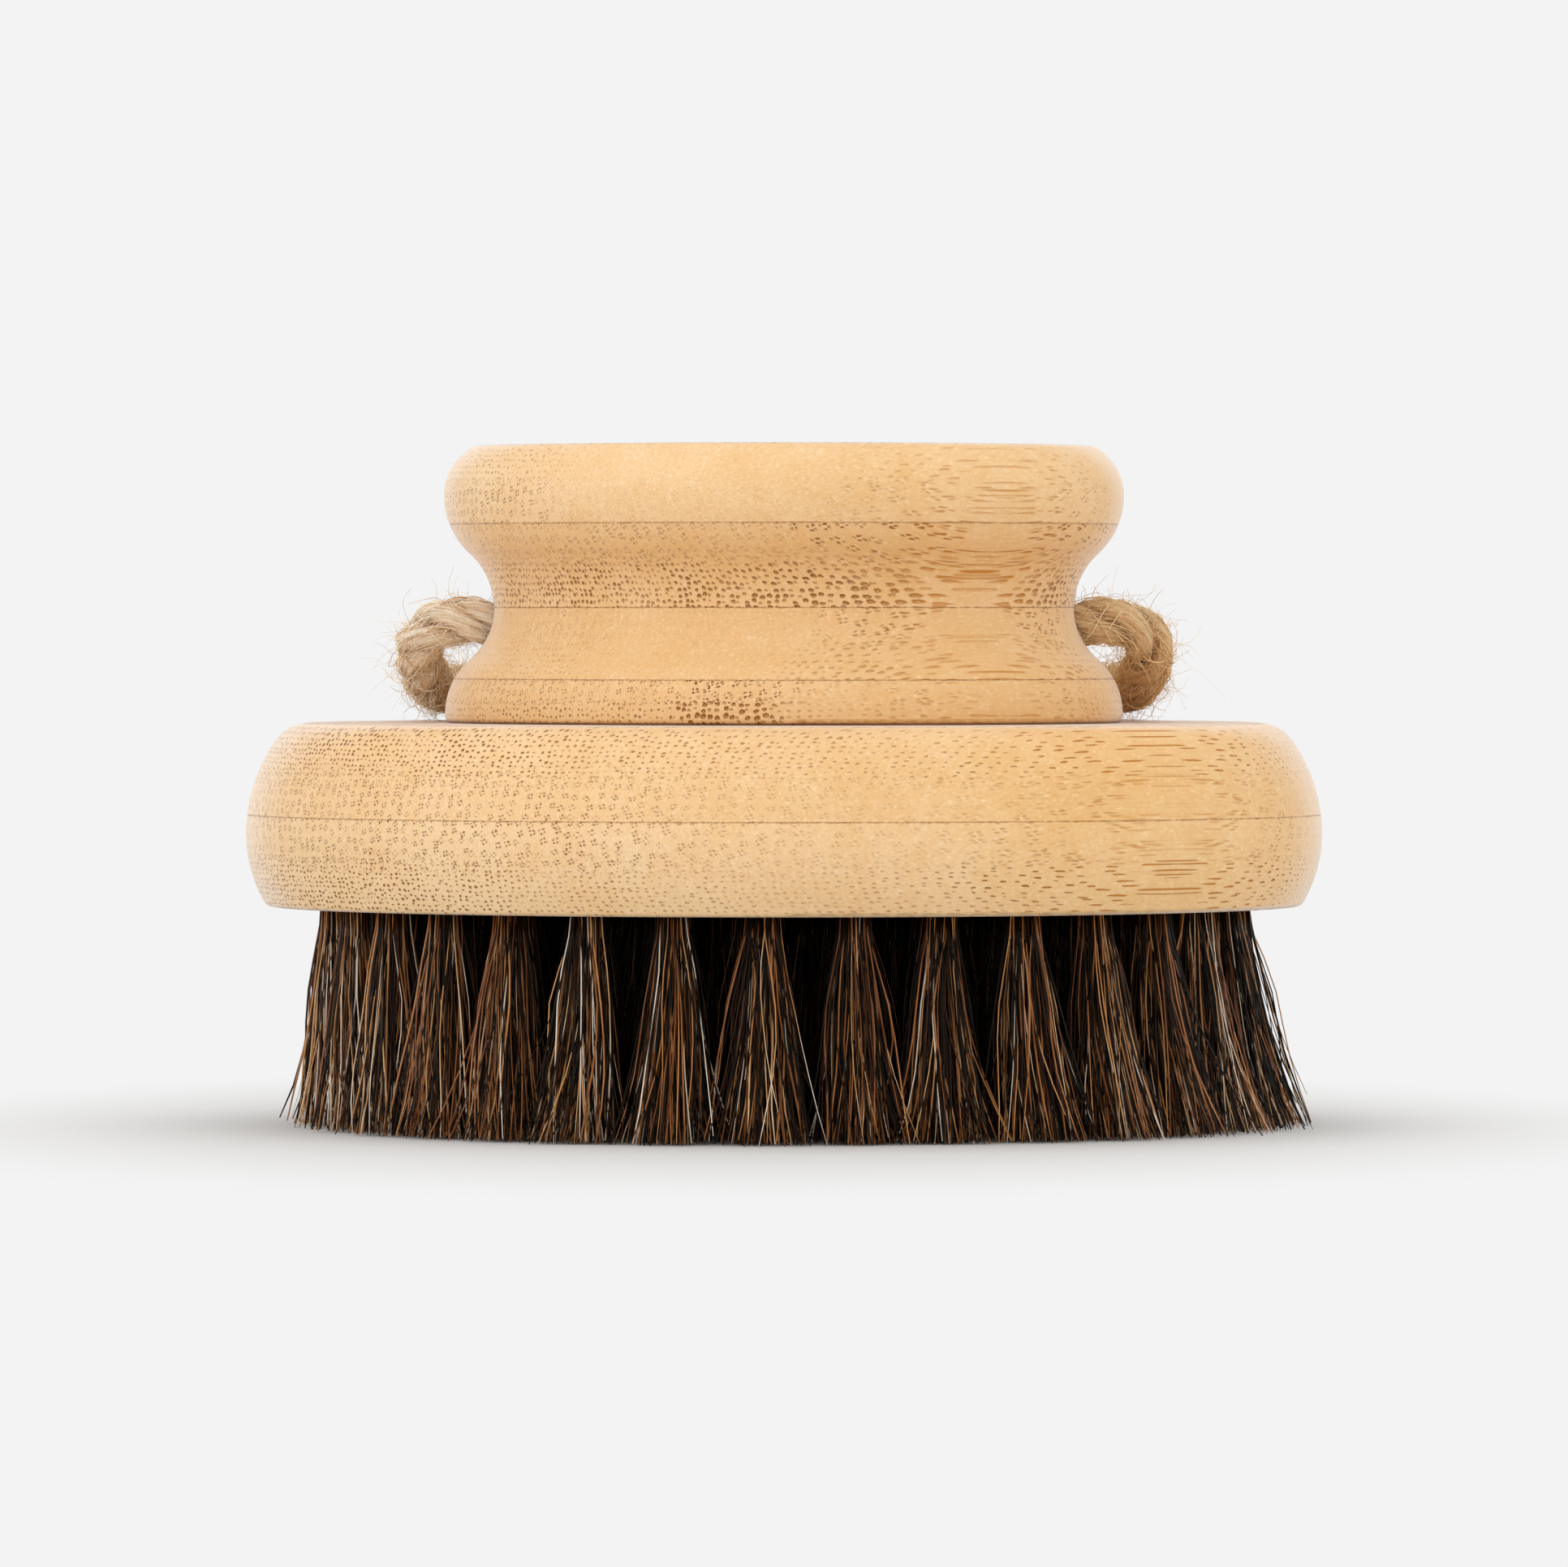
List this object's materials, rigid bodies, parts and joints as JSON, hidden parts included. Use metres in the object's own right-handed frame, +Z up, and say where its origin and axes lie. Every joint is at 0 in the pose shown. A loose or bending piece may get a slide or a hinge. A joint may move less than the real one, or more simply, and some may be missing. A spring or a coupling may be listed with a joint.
{
  "type": "dry brush",
  "caption": "Round bamboo body brush with a turned knob grip, horsehair tufts in blind holes and a knotted jute hanging cord.",
  "frame": {"origin": "on the axis of head and knob, in the plane of the trimmed bristle tips", "axes": "+Z up through the knob, +X along the cord's hole, +Y towards the side where the cord's loop lies at rest"},
  "size_m": [0.1, 0.1087, 0.0632],
  "materials": {
    "bamboo": "satin",
    "beech": "matte",
    "horsehair": "satin",
    "steel_wire": "satin",
    "jute": "matte"
  },
  "bodies": {
    "brush": {"head_lower_ply": "bamboo", "head_upper_ply": "bamboo", "knob_foot_ply": "bamboo", "knob_waist_ply": "bamboo", "knob_grip_ply": "bamboo", "knob_top_ply": "bamboo", "knob_dowels": "beech", "tufts_ring_1": "horsehair", "tufts_ring_2": "horsehair", "tufts_ring_3": "horsehair", "tufts_ring_4": "horsehair", "tufts_ring_5": "horsehair", "tufts_ring_6": "horsehair", "tuft_centre": "horsehair", "anchors_ring_1": "steel_wire", "anchors_ring_2": "steel_wire", "anchors_ring_3": "steel_wire", "anchors_ring_4": "steel_wire", "anchors_ring_5": "steel_wire", "anchors_ring_6": "steel_wire", "anchor_centre": "steel_wire"},
    "cord": {"hanging_cord": "jute"}
  },
  "joints": [
    {"name": "cord_swing", "type": "hinge", "parent": "brush", "child": "cord", "pos_m": [0, 0, 0.0468], "axis": [1, 0, 0], "range_deg": [0, 190]}
  ]
}
